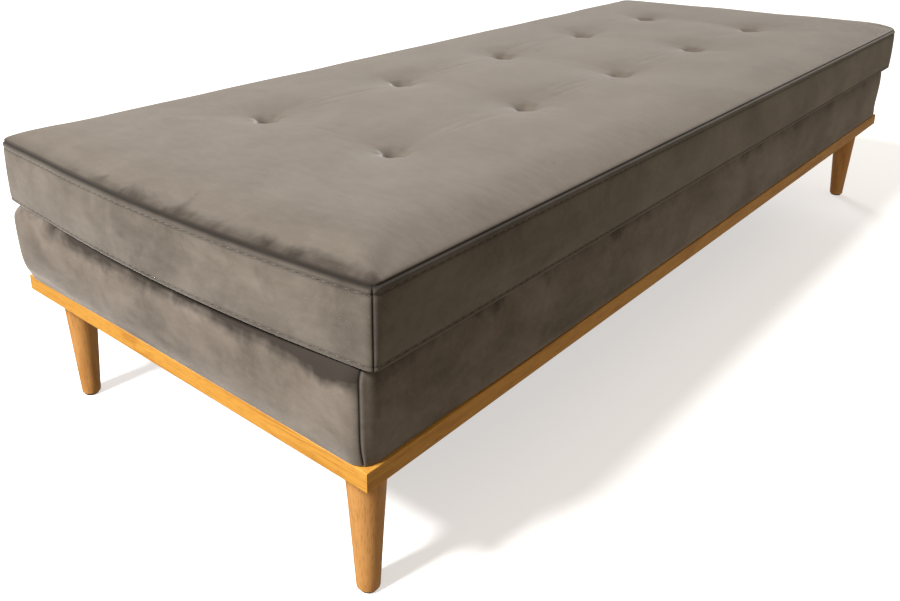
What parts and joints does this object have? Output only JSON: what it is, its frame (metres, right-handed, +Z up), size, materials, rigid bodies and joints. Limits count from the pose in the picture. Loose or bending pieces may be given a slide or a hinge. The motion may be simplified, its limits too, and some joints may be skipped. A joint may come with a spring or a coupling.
{
  "type": "daybed",
  "caption": "Long low daybed: a loose tufted velvet mattress on an upholstered slatted box, edged by an oak band and standing on round tapered oak legs.",
  "frame": {"origin": "on the floor under the middle of the bed", "axes": "+X along the bed's length, -Y out of its front, +Y out of its rear where the zip is, +Z up"},
  "size_m": [2.048, 0.8075, 0.4737],
  "materials": {
    "oak": "satin",
    "softwood": "matte",
    "birch": "matte",
    "zinc_steel": "satin",
    "glide_nylon": "matte",
    "velvet": "matte",
    "foam": "matte",
    "wadding": "matte",
    "felt": "matte",
    "lining": "matte",
    "dust_cloth": "matte",
    "button_nylon": "matte",
    "twine": "matte",
    "zip_nylon": "matte",
    "zip_metal": "satin"
  },
  "bodies": {
    "base": {"box_cover": "velvet", "box_rail_front": "softwood", "box_rail_left": "softwood", "box_rail_rear": "softwood", "box_rail_right": "softwood", "corner_blocks": "softwood", "corner_plate_front_left": "zinc_steel", "corner_plate_front_right": "zinc_steel", "corner_plate_rear_left": "zinc_steel", "corner_plate_rear_right": "zinc_steel", "cross_rail_left": "softwood", "cross_rail_right": "softwood", "deck_felt": "felt", "deck_foam": "foam", "deck_lining": "lining", "dust_cover": "dust_cloth", "hanger_bolts": "zinc_steel", "ledger_screws": "zinc_steel", "leg_front_left": "oak", "leg_front_right": "oak", "leg_glides": "glide_nylon", "leg_rear_left": "oak", "leg_rear_right": "oak", "oak_board_front": "oak", "oak_board_left": "oak", "oak_board_rear": "oak", "oak_board_right": "oak", "oak_screws": "zinc_steel", "plate_screws": "zinc_steel", "rail_screws": "zinc_steel", "side_pad_front": "foam", "side_pad_left": "foam", "side_pad_rear": "foam", "side_pad_right": "foam", "slat_01": "birch", "slat_02": "birch", "slat_03": "birch", "slat_04": "birch", "slat_05": "birch", "slat_06": "birch", "slat_07": "birch", "slat_08": "birch", "slat_09": "birch", "slat_10": "birch", "slat_ledger_front": "softwood", "slat_ledger_rear": "softwood", "slat_screws": "zinc_steel"},
    "mattress": {"foam_core": "foam", "wadding": "wadding", "cover_top": "velvet", "cover_boxing": "velvet", "cover_bottom": "velvet", "tuft_buttons": "velvet", "back_buttons": "button_nylon", "tuft_twines": "twine", "zip_tape": "zip_nylon", "zip_coil": "zip_nylon"},
    "zip_slider": {"zip_slider": "zip_metal"},
    "zip_pull": {"zip_pull": "zip_metal"}
  },
  "joints": [
    {"name": "mattress_lift", "type": "slide", "parent": "base", "child": "mattress", "axis": [0, 0, 1], "range_m": [0, 0.3]},
    {"name": "zip_slide", "type": "slide", "parent": "mattress", "child": "zip_slider", "axis": [-1, 0, 0], "range_m": [0, 1.47]},
    {"name": "pull_swing", "type": "hinge", "parent": "zip_slider", "child": "zip_pull", "pos_m": [0.738, 0.4042, 0.4112], "axis": [0, 0, -1], "range_deg": [0, 170]}
  ]
}
